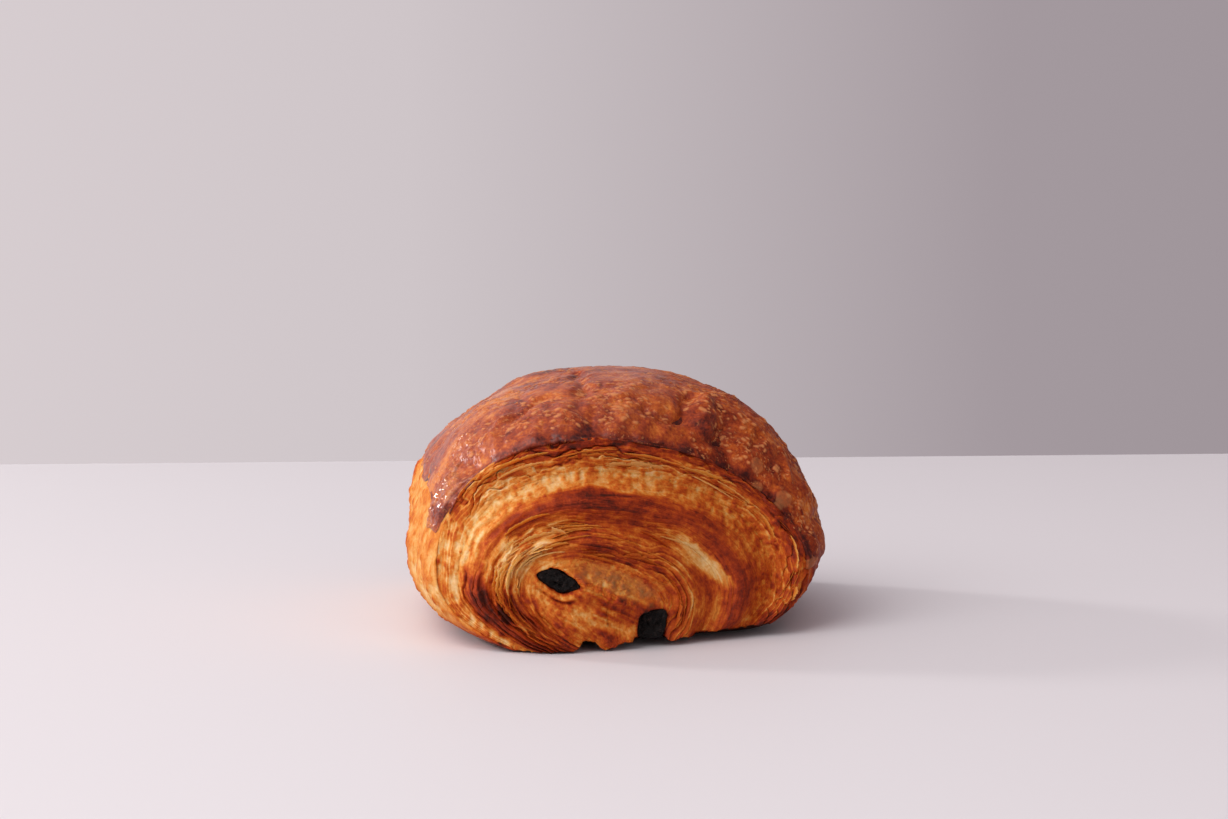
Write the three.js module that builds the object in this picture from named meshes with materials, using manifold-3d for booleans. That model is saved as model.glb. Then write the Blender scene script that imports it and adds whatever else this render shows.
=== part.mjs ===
// A pain au chocolat: laminated dough rolled over two chocolate sticks and baked.
// The roll lies along Y on a flat base at z = 0, with the origin under its middle.
// Both ends show the turns of dough as relief round a heart between the sticks.
// The end at -Y is cut askew, and leans back towards +X and towards its top.
// The sticks run through the pastry in channels of their own.
import * as THREE from "three";
import { mergeVertices } from "three/addons/utils/BufferGeometryUtils.js";
import Module from "manifold-3d";

// Driving dimensions, in millimetres.
const LENGTH = 99;
const WIDTH = 90;
const HEIGHT = 53;

const DEGREE = Math.PI / 180;
const TAU = 2 * Math.PI;

// The cross-section halfway along: its middle, its reach on each side, and how square each
// quarter is, anticlockwise from the upper right one.
const WAIST_Z = 16.5;
const WAIST = {
  x: 0,
  z: WAIST_Z,
  right: WIDTH / 2,
  left: WIDTH / 2,
  up: HEIGHT - WAIST_Z,
  down: 19.5,
  square: [2.08, 2.2, 2.7, 2.25],
};
// The rim of each end, where the crust stops and the layers start.
const RIM = { x: -6.2, z: 15.2, right: 46.2, left: 33, up: 27.8, down: 19, square: [1.71, 2.28, 2.8, 2.3] };
// The point that the layers wind round, and how far the innermost ones are turned.
const HEART = { x: -4.5, z: 11, turn: -22 * DEGREE };
// The power of the share with which each reach of a layer grows. The layers are arches that
// stand on the base, so they reach down nearly as far at the heart as at the rim.
const SPREAD = { right: 0.86, left: 0.52, up: 0.97, down: 0.12, drift: 1.5 };
// Near the base the arches' left feet hook to the right.
const HOOK = { far: 9, below: 14, power: 1.6, from: 6, whole: -16 };

// How far the rim of an end leans back at its foot, its top and its sides.
const LEAN = { foot: 2.6, top: 9.5, side: 7, power: 1.6 };
// How an end is askew: the slope at each end, where it starts and how softly.
const SKEW = { front: 0.34, back: 0.1, from: -13, bend: 4, most: 14.5 };
// How far the foot of the front end is off the ground at its right, and how far that runs in.
const FOOT = { lift: 2.2, from: 10, whole: 24, start: 3, end: 13, fade: 3 };
// The swell of the crust from the rims to the waist.
const SWELL = { flatness: 2.6, shoulder: 0.8 };

// Chocolate sticks: the middle of each section, its size along two axes that needn't be
// square to each other, the angles of those axes, and how square its corners are.
const STICKS = [
  { name: "chocolate_stick_left", x: -14.5, z: 15, wide: 8, tall: 4.9, axes: [-39, 19], square: 4 },
  { name: "chocolate_stick_right", x: 5.1, z: 4.8, wide: 6.2, tall: 6.1, axes: [2, 83], square: 4 },
];
const STICK_RECESS = 0.9;
const STICK_CLEARANCE = 0.36;
const STICK_SIDES = 16;

// The turns of dough on an end, from the rim inwards: the share of the arch where each crest
// or valley lies, its half width, and how far it stands proud.
const TURNS = [
  { at: 0.92, wide: 0.05, proud: 1.1 },
  { at: 0.79, wide: 0.06, proud: -1.5 },
  { at: 0.63, wide: 0.08, proud: 2.2 },
  { at: 0.48, wide: 0.05, proud: -0.9 },
  { at: 0.36, wide: 0.05, proud: 1.1 },
  { at: 0.19, wide: 0.09, proud: -1.5 },
];
// The ridge of dough from one stick to the other.
const RIDGE = { from: [-9, 14], to: [3, 10], wide: 2.2, proud: 1.8 };
// Sheets of dough on each end: how far their edges stand over their roots.
const SHEET_PROUD = 0.85;
const SHEET_EDGE = 0.58;
const FRONT_SHEETS = 12;
const BACK_SHEETS = 10;
const FIRST_SHARE = 0.02;

// The crust's wrinkles, and the lip with which it overhangs the ends.
const WRINKLE = 0.8;
const CRUST_LIP = 1.1;
const CRUST_RINGS = 14;

const AROUND = 92;

function mix(a, b, t) {
  return a + (b - a) * t;
}

function smooth(low, high, x) {
  const t = Math.min(1, Math.max(0, (x - low) / (high - low)));
  return t * t * (3 - 2 * t);
}

// Keeps the sign of a number raised to a power.
function signedPower(value, power) {
  return Math.sign(value) * Math.abs(value) ** power;
}

// A bump of height 1 centred on a value.
function bump(x, at, wide) {
  return Math.exp(-(((x - at) / wide) ** 2));
}

// A superellipse with a reach of its own on each side and a squareness in each quarter.
function outline(angle, shape, turn = 0) {
  const c = Math.cos(angle);
  const s = Math.sin(angle);
  const quarter = s > 0 ? (c > 0 ? 0 : 1) : c > 0 ? 3 : 2;
  const power = 2 / shape.square[quarter];
  const x = (c > 0 ? shape.right : shape.left) * signedPower(c, power);
  const z = (s > 0 ? shape.up : shape.down) * signedPower(s, power);
  return {
    x: shape.x + x * Math.cos(turn) - z * Math.sin(turn),
    z: Math.max(0, shape.z + x * Math.sin(turn) + z * Math.cos(turn)),
  };
}

// How far a place on an arch has hooked to the right.
function hook(x, z) {
  const below = Math.max(0, 1 - z / HOOK.below) ** HOOK.power;
  return HOOK.far * below * smooth(-HOOK.from, -HOOK.whole, -x);
}

// The outline of one layer on an end: share 0 is the heart and 1 the rim.
function layerOutline(angle, share) {
  const drift = share ** SPREAD.drift;
  const shape = {
    x: mix(HEART.x, RIM.x, drift),
    z: mix(HEART.z, RIM.z, drift),
    right: RIM.right * share ** SPREAD.right,
    left: RIM.left * share ** SPREAD.left,
    up: RIM.up * share ** SPREAD.up,
    down: RIM.down * share ** SPREAD.down,
    square: RIM.square.map((square) => mix(2, square, share)),
  };
  const { x, z } = outline(angle, shape, HEART.turn * Math.max(0, 1 - share / 0.85) ** 1.2);
  return { x: x + hook(x, z), z };
}

// How far an end lies back at x because it is askew.
function skew(x, side) {
  const slope = side < 0 ? SKEW.front : SKEW.back;
  const back = slope * SKEW.bend * Math.log1p(Math.exp((x - SKEW.from) / SKEW.bend));
  return Math.min(back, SKEW.most);
}

// How far back a layer lies from the foremost plane of its end.
function layerLean(angle, share, side) {
  const c = Math.cos(angle);
  const s = Math.sin(angle);
  const rimLean = LEAN.foot + LEAN.top * smooth(-0.15, 1, s) + LEAN.side * c * c * smooth(-1, 0, s);
  return rimLean * share ** LEAN.power + skew(layerOutline(angle, share).x, side);
}

// The height of the front end's foot over the ground.
function footLift(x, y) {
  const behind = y + LENGTH / 2 - skew(x, -1);
  return FOOT.lift * smooth(FOOT.from, FOOT.whole, x) * (1 - smooth(FOOT.start, FOOT.end, behind));
}

// A bump of height 1 along the ridge between the sticks.
function ridgeBump(x, z) {
  const [x0, z0] = RIDGE.from;
  const [dx, dz] = [RIDGE.to[0] - x0, RIDGE.to[1] - z0];
  const t = Math.min(1, Math.max(0, ((x - x0) * dx + (z - z0) * dz) / (dx * dx + dz * dz)));
  return bump(Math.hypot(x - x0 - t * dx, z - z0 - t * dz), 0, RIDGE.wide);
}

// Turns and sheets standing proud of an end, fading out towards the base; edge is 1 on a
// sheet's edge and 0 on its root.
function layerRelief(angle, share, edge, side) {
  const phase = side < 0 ? 0.4 : 2.9;
  let proud = 0;
  for (const turn of TURNS) {
    const at = turn.at + 0.012 * Math.sin(3 * angle + phase + 9 * turn.at);
    proud += turn.proud * bump(share, at, turn.wide);
  }
  const uneven = 0.6 + 0.4 * Math.sin(3 * angle + 17 * share + phase) * Math.cos(5 * angle + 29 * share);
  proud += SHEET_PROUD * edge * uneven * smooth(0.08, 0.3, share);
  const point = layerOutline(angle, share);
  const ridge = side < 0 ? RIDGE.proud * ridgeBump(point.x, point.z) : 0;
  const lift = side < 0 ? FOOT.lift * smooth(FOOT.from, FOOT.whole, point.x) : 0;
  return (ridge + proud) * smooth(lift, lift + FOOT.fade, point.z);
}

// Broad wrinkles of the crust, 0 under the base.
function wrinkle(angle, along) {
  const waves =
    Math.sin(4 * angle + 0.07 * along + 1.3) * Math.sin(0.11 * along + 0.6) +
    0.6 * Math.sin(7 * angle - 0.05 * along) * Math.cos(0.16 * along + 2 * angle) +
    0.5 * Math.sin(11 * angle + 0.09 * along + 0.4);
  return WRINKLE * waves * smooth(-0.4, 0.3, Math.sin(angle));
}

function ringOf(pointAt) {
  return Array.from({ length: AROUND }, (_, i) => pointAt((TAU * i) / AROUND));
}

// The rings of an end, from the heart to the rim, with two for each sheet of dough.
// Side is -1 at the front and 1 at the back.
function endRings(sheets, side) {
  return Array.from({ length: 2 * sheets }, (_, i) => {
    const edge = i % 2;
    const place = (Math.floor(i / 2) + edge * SHEET_EDGE) / (sheets - 1 + SHEET_EDGE);
    const share = mix(FIRST_SHARE, 1, place);
    return ringOf((angle) => {
      const { x, z } = layerOutline(angle, share);
      const y = side * (LENGTH / 2 - layerLean(angle, share, side) + layerRelief(angle, share, edge, side));
      return new THREE.Vector3(x, y, Math.max(z, footLift(x, y)));
    });
  });
}

// One ring of the crust, from the front rim at 0 to the back rim at 1.
function crustRing(along) {
  const swell = (1 - Math.abs(2 * along - 1) ** SWELL.flatness) ** SWELL.shoulder;
  const inner = smooth(0, 0.08, along) * smooth(0, 0.08, 1 - along);
  return ringOf((angle) => {
    const rim = layerOutline(angle, 1);
    const waist = outline(angle, WAIST);
    const front = LENGTH / 2 - layerLean(angle, 1, -1);
    const back = LENGTH / 2 - layerLean(angle, 1, 1);
    const y = mix(-front, back, along);
    const lip = CRUST_LIP * (1 - inner) * smooth(0, 0.5, Math.sin(angle));
    const lift = wrinkle(angle, y) * inner + lip;
    const x = mix(rim.x, waist.x, swell) + lift * Math.cos(angle);
    const z = mix(rim.z, waist.z, swell) + lift * Math.sin(angle);
    return new THREE.Vector3(x, y, Math.max(footLift(x, y), Math.min(HEIGHT, z)));
  });
}

function middleOf(ring) {
  const sum = ring.reduce((total, p) => total.add(p), new THREE.Vector3());
  return sum.divideScalar(ring.length);
}

// A closed skin over a list of rings, with a point at each pole.
function skinOver(rings) {
  const last = rings.length - 1;
  const points = [middleOf(rings[0]), ...rings.flat(), middleOf(rings[last])];
  const at = (ring, i) => 1 + ring * AROUND + (i % AROUND);
  const faces = [];
  for (let i = 0; i < AROUND; i++) {
    faces.push(0, at(0, i), at(0, i + 1));
    faces.push(points.length - 1, at(last, i + 1), at(last, i));
    for (let ring = 0; ring < last; ring++) {
      const [a, b, c, d] = [at(ring, i), at(ring, i + 1), at(ring + 1, i + 1), at(ring + 1, i)];
      // The diagonals alternate, so that the facets lean neither way round the roll.
      if ((i + ring) % 2) faces.push(a, d, c, a, c, b);
      else faces.push(a, d, b, b, d, c);
    }
  }
  return new THREE.BufferGeometry().setFromPoints(points).setIndex(faces);
}

function pastrySkin() {
  const front = endRings(FRONT_SHEETS, -1);
  const crust = Array.from({ length: CRUST_RINGS }, (_, i) => crustRing((i + 0.4) / (CRUST_RINGS - 0.2)));
  const back = endRings(BACK_SHEETS, 1);
  return skinOver([...front, ...crust, ...back.reverse()]);
}

// The section of a stick, a blunt lozenge on its two axes, grown by a margin.
function stickSection(stick, margin) {
  const [across, upward] = stick.axes.map((axis) => axis * DEGREE);
  const power = 2 / stick.square;
  const corners = Array.from({ length: STICK_SIDES }, (_, i) => {
    const angle = (TAU * (i + 0.5)) / STICK_SIDES;
    const u = (stick.wide / 2 + margin) * signedPower(Math.cos(angle), power);
    const v = (stick.tall / 2 + margin) * signedPower(Math.sin(angle), power);
    return new THREE.Vector2(
      stick.x + u * Math.cos(across) + v * Math.cos(upward),
      stick.z + u * Math.sin(across) + v * Math.sin(upward),
    );
  });
  return new THREE.Shape(corners);
}

// A bar along Y with the stick's section, between two places.
function stickBar(stick, margin, from, to) {
  const depth = to - from;
  const bar = new THREE.ExtrudeGeometry(stickSection(stick, margin), { depth, bevelEnabled: false });
  // The section is drawn in X and Y, and stands up to X and Z with the extrusion along Y.
  bar.rotateX(Math.PI / 2);
  return bar.translate(0, to, 0);
}

const wasm = await Module();
wasm.setup();

function solidOf(geometry) {
  const bare = geometry.index ? geometry.toNonIndexed() : geometry.clone();
  bare.deleteAttribute("normal");
  bare.deleteAttribute("uv");
  const merged = mergeVertices(bare, 1e-3);
  return new wasm.Manifold(
    new wasm.Mesh({
      numProp: 3,
      vertProperties: new Float32Array(merged.attributes.position.array),
      triVerts: new Uint32Array(merged.index.array),
    }),
  );
}

function geometryOf(solid) {
  const mesh = solid.getMesh();
  return new THREE.BufferGeometry()
    .setAttribute("position", new THREE.BufferAttribute(mesh.vertProperties, 3))
    .setIndex(new THREE.BufferAttribute(mesh.triVerts, 1));
}

function pastry() {
  let solid = solidOf(pastrySkin());
  for (const stick of STICKS) {
    solid = solid.subtract(solidOf(stickBar(stick, STICK_CLEARANCE, -LENGTH, LENGTH)));
  }
  const crust = new THREE.MeshStandardMaterial({ color: 0xa4511f, roughness: 0.5, metalness: 0 });
  const mesh = new THREE.Mesh(geometryOf(solid), crust);
  mesh.name = "pastry";
  return mesh;
}

// A stick, which stops a little inside both ends of the pastry.
function chocolateStick(stick) {
  const from = -LENGTH / 2 + skew(stick.x, -1) + STICK_RECESS;
  const to = LENGTH / 2 - skew(stick.x, 1) - STICK_RECESS;
  const chocolate = new THREE.MeshStandardMaterial({ color: 0x241a1a, roughness: 0.6, metalness: 0 });
  const mesh = new THREE.Mesh(stickBar(stick, 0, from, to), chocolate);
  mesh.name = stick.name;
  return mesh;
}

const painAuChocolat = new THREE.Group();
painAuChocolat.add(pastry(), ...STICKS.map(chocolateStick));

// The origin lies under the middle of the whole box.
const middle = new THREE.Box3().setFromObject(painAuChocolat).getCenter(new THREE.Vector3());
painAuChocolat.position.set(-middle.x, -middle.y, 0);

export default painAuChocolat;
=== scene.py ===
"""A pain au chocolat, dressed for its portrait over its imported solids.

The roll's own shape is worked out again here, from the same named sizes as its solids, and
carries what they leave out: sheets of dough, blisters, wrinkles, glaze and loose flakes.
Shapes are written in millimetres in the roll's own frame, and turned to metres when a mesh
is made. An end's layers have two coordinates: an angle round the heart, from +X towards +Z,
and a share of the radius, 0 at the heart and 1 at the rim.
"""
from types import SimpleNamespace

import bpy
import numpy as np
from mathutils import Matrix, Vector


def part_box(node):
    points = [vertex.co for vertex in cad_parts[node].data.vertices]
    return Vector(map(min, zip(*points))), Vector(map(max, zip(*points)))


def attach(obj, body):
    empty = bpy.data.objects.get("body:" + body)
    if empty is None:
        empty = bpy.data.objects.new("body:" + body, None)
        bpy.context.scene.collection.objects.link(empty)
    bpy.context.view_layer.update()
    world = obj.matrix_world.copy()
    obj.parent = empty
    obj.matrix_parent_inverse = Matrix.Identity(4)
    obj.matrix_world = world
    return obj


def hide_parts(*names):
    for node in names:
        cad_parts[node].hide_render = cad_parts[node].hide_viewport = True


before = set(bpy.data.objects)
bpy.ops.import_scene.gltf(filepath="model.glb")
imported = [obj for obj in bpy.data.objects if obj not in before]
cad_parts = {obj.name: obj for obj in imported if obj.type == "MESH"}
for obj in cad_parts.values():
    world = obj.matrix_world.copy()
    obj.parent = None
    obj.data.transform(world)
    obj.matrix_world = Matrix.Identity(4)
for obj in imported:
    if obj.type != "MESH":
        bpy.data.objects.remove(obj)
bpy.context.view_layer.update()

MM = 0.001
TAU = 2 * np.pi
FRONT, BACK = -1, 1

# The roll's driving sizes, in millimetres.
LENGTH = 99.0
WIDTH = 90.0
HEIGHT = 53.0
WAIST_Z = 16.5
WAIST = SimpleNamespace(
    x=0.0, z=WAIST_Z, right=WIDTH / 2, left=WIDTH / 2, up=HEIGHT - WAIST_Z, down=19.5,
    square=(2.08, 2.2, 2.7, 2.25))
RIM = SimpleNamespace(
    x=-6.2, z=15.2, right=46.2, left=33.0, up=27.8, down=19.0, square=(1.71, 2.28, 2.8, 2.3))
HEART = SimpleNamespace(x=-4.5, z=11.0, turn=np.radians(-22))
SPREAD = SimpleNamespace(right=0.86, left=0.52, up=0.97, down=0.12, drift=1.5)
HOOK = SimpleNamespace(far=9.0, below=14.0, power=1.6, start=6.0, whole=-16.0)
LEAN = SimpleNamespace(foot=2.6, top=9.5, side=7.0, power=1.6)
SKEW = SimpleNamespace(front=0.34, back=0.1, start=-13.0, bend=4.0, most=14.5)
FOOT = SimpleNamespace(lift=2.2, start=10.0, whole=24.0, near=3.0, far=13.0)
SWELL = SimpleNamespace(flatness=2.6, shoulder=0.8)
RIDGE = SimpleNamespace(start=(-9.0, 13.8), end=(3.4, 8.0), wide=1.7, proud=1.8)
RIDGE_EDGE = SimpleNamespace(up=1.5, wide=0.55)
STICKS = (
    SimpleNamespace(name="chocolate_stick_left", x=-14.5, z=15.0, wide=7.6, tall=5.2,
                    axes=np.radians((-36, 21)), square=3.6),
    SimpleNamespace(name="chocolate_stick_right", x=5.1, z=4.8, wide=6.2, tall=6.1,
                    axes=np.radians((2, 83)), square=4.0),
)
STICK_RECESS = 0.9
STICK_HOLE_DEPTH = 3.2
# The crack in the dough under the higher stick, and the flap of dough between the two.
CRACK = SimpleNamespace(away=1.7, wide=0.3, deep=0.7, above=10.0, left=(-20, -18), right=(-9.5, -12))
FLAP = SimpleNamespace(away=0.9, wide=0.6)

# Turns of dough: each crest or valley's share of the radius, half width and height.
TURNS = (
    (0.92, 0.05, 1.1),
    (0.79, 0.06, -1.5),
    (0.63, 0.08, 2.2),
    (0.48, 0.05, -0.9),
    (0.36, 0.05, 1.1),
    (0.19, 0.09, -1.5),
)
CORE_TO = 0.5
MIDDLE_TO = 0.79

# Sheets of dough within the turns: how many there are from heart to rim, and their depth.
SHEETS = 31
SHEET_DEPTH = 0.9
RIBBONS = 15
RIBBON_DEPTH = 1.25
RUFFLES = 16
RUFFLE_DEPTH = 1.7
FINE_SHEETS = 97
FINE_DEPTH = 0.14

def mix(a, b, t):
    return a + (b - a) * t


def smooth(low, high, x):
    t = np.clip((x - low) / (high - low), 0, 1)
    return t * t * (3 - 2 * t)


def signed_power(value, power):
    return np.sign(value) * np.abs(value) ** power


def bump(x, at, wide):
    return np.exp(-(((x - at) / wide) ** 2))


def unit(vectors):
    return vectors / np.maximum(np.linalg.norm(vectors, axis=-1, keepdims=True), 1e-9)


# Noise.

def scramble(x, y, z, seed):
    """A number from 0 to 1 for each whole-numbered place, by multiplying and folding bits."""
    n = (x * 374761393 + y * 668265263 + z * 1440662683 + seed * 69069) & 0xFFFFFFFF
    n = ((n ^ (n >> 13)) * 1274126177) & 0xFFFFFFFF
    n = ((n ^ (n >> 16)) * 668265263) & 0xFFFFFFFF
    return ((n ^ (n >> 15)) & 0xFFFFFF) / 0xFFFFFF


def noise(x, y, z, seed=0):
    """Smooth noise from -1 to 1: random numbers on a lattice, blended by a quintic curve."""
    values = np.broadcast_arrays(x, y, z)
    place = [np.floor(v).astype(np.int64) for v in values]
    part = [v - p for v, p in zip(values, place)]
    blend = [f * f * f * (f * (f * 6 - 15) + 10) for f in part]
    total = 0.0
    for steps in np.ndindex(2, 2, 2):
        weights = [b if step else 1 - b for b, step in zip(blend, steps)]
        corner = [p + step for p, step in zip(place, steps)]
        total = total + weights[0] * weights[1] * weights[2] * scramble(*corner, seed)
    return 2 * total - 1


def rough_noise(x, y, z, octaves=3, seed=0):
    """Noise with finer and fainter copies of itself added, each 2.13 times finer."""
    total, size, share = 0.0, 1.0, 0.0
    for octave in range(octaves):
        total = total + size * noise(x, y, z, seed + 11 * octave)
        share += size
        x, y, z, size = x * 2.13 + 5.2, y * 2.13 + 1.7, z * 2.13 + 9.1, size * 0.5
    return total / share


def noise_at(points, size, seed):
    """Noise at points, in lumps of a size in mm, one for all axes or one for each."""
    return noise(*np.moveaxis(points / np.array(size), -1, 0), seed)


def rough_noise_at(points, size, octaves, seed):
    return rough_noise(*np.moveaxis(points / np.array(size), -1, 0), octaves, seed)


def spots(points, cell, chance, small, large, seed):
    """Nearness to spots strewn one to a cell: 1 at a spot's middle, 0 from its edge on."""
    place = points / cell
    base = np.floor(place - 0.5).astype(np.int64)
    best = np.zeros(points.shape[:-1])
    for step in np.ndindex(2, 2, 2):
        corner = base + step
        draw = [scramble(*np.moveaxis(corner, -1, 0), seed + n) for n in range(5)]
        away = np.linalg.norm((corner + np.stack(draw[:3], -1)) * cell - points, axis=-1)
        size = np.maximum(mix(small, large, draw[3] ** 2), 1e-6)
        best = np.maximum(best, np.where(draw[4] < chance, np.clip(1 - away / size, 0, 1), 0))
    return best


# The roll's shape.

def outline(angle, shape, turn=0.0):
    """A superellipse with its own reach on each side and its own squareness in each quarter."""
    c, s = np.cos(angle), np.sin(angle)
    square = np.where(
        s > 0,
        np.where(c > 0, shape.square[0], shape.square[1]),
        np.where(c > 0, shape.square[3], shape.square[2]))
    x = np.where(c > 0, shape.right, shape.left) * signed_power(c, 2 / square)
    z = np.where(s > 0, shape.up, shape.down) * signed_power(s, 2 / square)
    return (
        shape.x + x * np.cos(turn) - z * np.sin(turn),
        np.maximum(0, shape.z + x * np.sin(turn) + z * np.cos(turn)))


def arch_hook(x, z):
    """How far the arches' left feet have hooked to the right at a height."""
    below = np.clip(1 - z / HOOK.below, 0, 1) ** HOOK.power
    return HOOK.far * below * smooth(HOOK.start, HOOK.whole, x)


def layer_outline(angle, share):
    """X and z of an arch: its reaches grow as powers of the share, and its middle drifts up."""
    drift = share ** SPREAD.drift
    shape = SimpleNamespace(
        x=mix(HEART.x, RIM.x, drift),
        z=mix(HEART.z, RIM.z, drift),
        right=RIM.right * share ** SPREAD.right,
        left=RIM.left * share ** SPREAD.left,
        up=RIM.up * share ** SPREAD.up,
        down=RIM.down * share ** SPREAD.down,
        square=tuple(mix(2, square, share) for square in RIM.square))
    x, z = outline(angle, shape, HEART.turn * np.maximum(0, 1 - share / 0.85) ** 1.2)
    return x + arch_hook(x, z), z


def skew(x, side):
    """How far an end lies back at x: a straight slope with a soft start, up to its most."""
    slope = SKEW.front if side == FRONT else SKEW.back
    back = slope * SKEW.bend * np.log1p(np.exp((x - SKEW.start) / SKEW.bend))
    return np.minimum(back, SKEW.most)


def layer_lean(angle, share, side):
    """How far back a layer lies from its end's foremost plane: rim lean times share to a power."""
    c, s = np.cos(angle), np.sin(angle)
    rim = LEAN.foot + LEAN.top * smooth(-0.15, 1, s) + LEAN.side * c * c * smooth(-1, 0, s)
    return rim * share ** LEAN.power + skew(layer_outline(angle, share)[0], side)


def waist_share(along):
    """How far the crust has swelled from the rims, 0, to the waist, 1."""
    return (1 - np.abs(2 * along - 1) ** SWELL.flatness) ** SWELL.shoulder


def body_point(angle, along):
    """A point of the crust: the rim's outline blended into the waist's, and y from rim to rim."""
    rim_x, rim_z = layer_outline(angle, 1.0)
    waist_x, waist_z = outline(angle, WAIST)
    front = -(LENGTH / 2 - layer_lean(angle, 1.0, FRONT))
    back = LENGTH / 2 - layer_lean(angle, 1.0, BACK)
    swell = waist_share(np.clip(along, 0, 1))
    return np.stack([
        mix(rim_x, waist_x, swell),
        mix(front, back, along),
        mix(rim_z, waist_z, swell)], -1)


def body_normal(angle, along):
    """The crust's outward unit normal: the cross product of its differences round and along."""
    step = 0.004
    around = body_point(angle + step, along) - body_point(angle - step, along)
    after, before = np.clip(along + step, 0, 1), np.clip(along - step, 0, 1)
    return unit(np.cross(body_point(angle, after) - body_point(angle, before), around))


def stick_ends(stick):
    """Where a stick's two broken faces lie along the roll, each a little way inside its end."""
    return (
        -LENGTH / 2 + skew(stick.x, FRONT) + STICK_RECESS,
        LENGTH / 2 - skew(stick.x, BACK) - STICK_RECESS)


# Where the solids lie: their maker centred them by their box.
stick_low, stick_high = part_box(STICKS[0].name)
SHIFT_X = (stick_low[0] + stick_high[0]) / 2 / MM - STICKS[0].x
SHIFT_Y = (stick_low[1] + stick_high[1]) / 2 / MM - sum(stick_ends(STICKS[0])) / 2


def stick_distance(stick, x, z):
    """Rough distance in mm outside a stick's section, negative inside it."""
    dx, dz = x - stick.x, z - stick.z
    across, upward = stick.axes
    spread = np.sin(upward - across)
    u = np.abs(dx * np.sin(upward) - dz * np.cos(upward)) / spread / (stick.wide / 2)
    v = np.abs(dz * np.cos(across) - dx * np.sin(across)) / spread / (stick.tall / 2)
    ring = (u ** stick.square + v ** stick.square) ** (1 / stick.square)
    return (ring - 1) * min(stick.wide, stick.tall) / 2


def ridge_bump(x, z, wide):
    """A bump of height 1 along the line between the sticks."""
    (x0, z0), (x1, z1) = RIDGE.start, RIDGE.end
    dx, dz = x1 - x0, z1 - z0
    t = np.clip(((x - x0) * dx + (z - z0) * dz) / (dx * dx + dz * dz), 0, 1)
    return bump(np.hypot(x - x0 - t * dx, z - z0 - t * dz), 0, wide)


# How an end is baked: shares of the arches with, at each, how brown it is at the left, over
# the top and at the right, how deep its sheets are, how grainy it is and how pale its edges are,
# partly as a painted highlight.
ZONE_COLUMNS = ("share", "left", "top", "right", "depth", "grain", "pale")
ZONES = np.array([
    (0.00, 0.54, 0.56, 0.56, 0.10, 0.6, 0.1),
    (0.16, 0.48, 0.52, 0.56, 0.15, 0.6, 0.1),
    (0.22, 0.40, 0.52, 0.52, 0.30, 0.5, 0.3),
    (0.28, 0.46, 0.74, 0.60, 0.45, 0.2, 0.5),
    (0.34, 0.40, 0.80, 0.54, 0.50, 0.2, 0.6),
    (0.40, 0.37, 0.68, 0.60, 0.50, 0.2, 0.6),
    (0.46, 0.42, 0.60, 0.54, 0.40, 0.2, 0.4),
    (0.52, 0.42, 0.66, 0.54, 0.40, 0.2, 0.3),
    (0.57, 0.46, 0.72, 0.54, 0.30, 0.2, 0.2),
    (0.60, 0.52, 0.80, 0.70, 0.25, 0.1, 0.1),
    (0.67, 0.50, 0.84, 0.78, 0.25, 0.1, 0.1),
    (0.712, 0.38, 0.78, 0.64, 0.30, 0.3, 0.1),
    (0.74, 0.26, 0.36, 0.48, 0.25, 1.0, 0.2),
    (0.82, 0.22, 0.24, 0.48, 0.30, 1.2, 0.3),
    (0.86, 0.34, 0.46, 0.56, 0.80, 0.6, 0.9),
    (0.90, 0.40, 0.62, 0.68, 1.20, 0.3, 0.9),
    (0.95, 0.44, 0.78, 0.76, 1.30, 0.2, 0.6),
    (1.00, 0.30, 0.80, 0.76, 0.80, 0.3, 0.2),
])

# Patches that stand out: x, z, half length, half width, turn in degrees, browning and strength.
CRUMB = (-1.6, 13.6, 10.0, 2.6, -24, 0.54, 0.8)
STREAK = (16.8, 16.6, 8.0, 1.8, -43, 0.08, 0.9)
PATCHES = (
    CRUMB,
    STREAK,
    (-10.0, 6.6, 3.6, 3.0, -20, 0.36, 0.7),
    (-3.0, 8.2, 5.0, 1.8, -27, 0.66, 0.8),
    (-2.8, 3.4, 3.8, 1.6, -15, 0.66, 0.7),
    (24.0, 12.0, 6.0, 1.1, -62, 0.74, 0.7),
    (-10.5, 20.4, 6.0, 1.5, -6, 0.64, 0.7),
    (-25.6, 8.4, 2.6, 1.0, -58, 1.0, 0.9),
    (27.0, 24.0, 9.0, 4.0, -45, 0.42, 0.5),
    (34.0, 11.0, 3.0, 4.5, 20, 0.60, 0.6),
    (-24.5, 20.0, 1.6, 5.0, 12, 0.12, 0.7),
    (-19.0, 21.0, 1.3, 4.5, -40, 0.14, 0.6),
)


def zone_value(share, column):
    return np.interp(share, ZONES[:, 0], ZONES[:, ZONE_COLUMNS.index(column)])


def patch_value(x, z, patch):
    """1 in a patch's ellipse, fading to 0 outside it."""
    at_x, at_z, half_length, half_width, degrees = patch[:5]
    turn = np.radians(degrees)
    dx, dz = x - at_x, z - at_z
    u = (dx * np.cos(turn) + dz * np.sin(turn)) / half_length
    v = (dz * np.cos(turn) - dx * np.sin(turn)) / half_width
    return 1 - smooth(0.55, 1.25, np.hypot(u, v))


def sheet_profile(part):
    """A sheet's section, from its root at 0: a quick rise, a slope and a fall at its edge."""
    return (0.35 * smooth(0, 0.15, part) + 0.65 * part) * (1 - smooth(0.72, 1.0, part))


# Gaps under the front foot: x, half width and height.
FOOT_GAPS = (
    (-9.2, 1.2, 2.3), (-7.0, 1.3, 1.3), (-1.2, 1.9, 1.2), (1.4, 0.8, 0.9), (5.1, 3.1, 3.0),
    (14.0, 5.0, 1.0))
FOOT_LEFT = (-44, -34)


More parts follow.
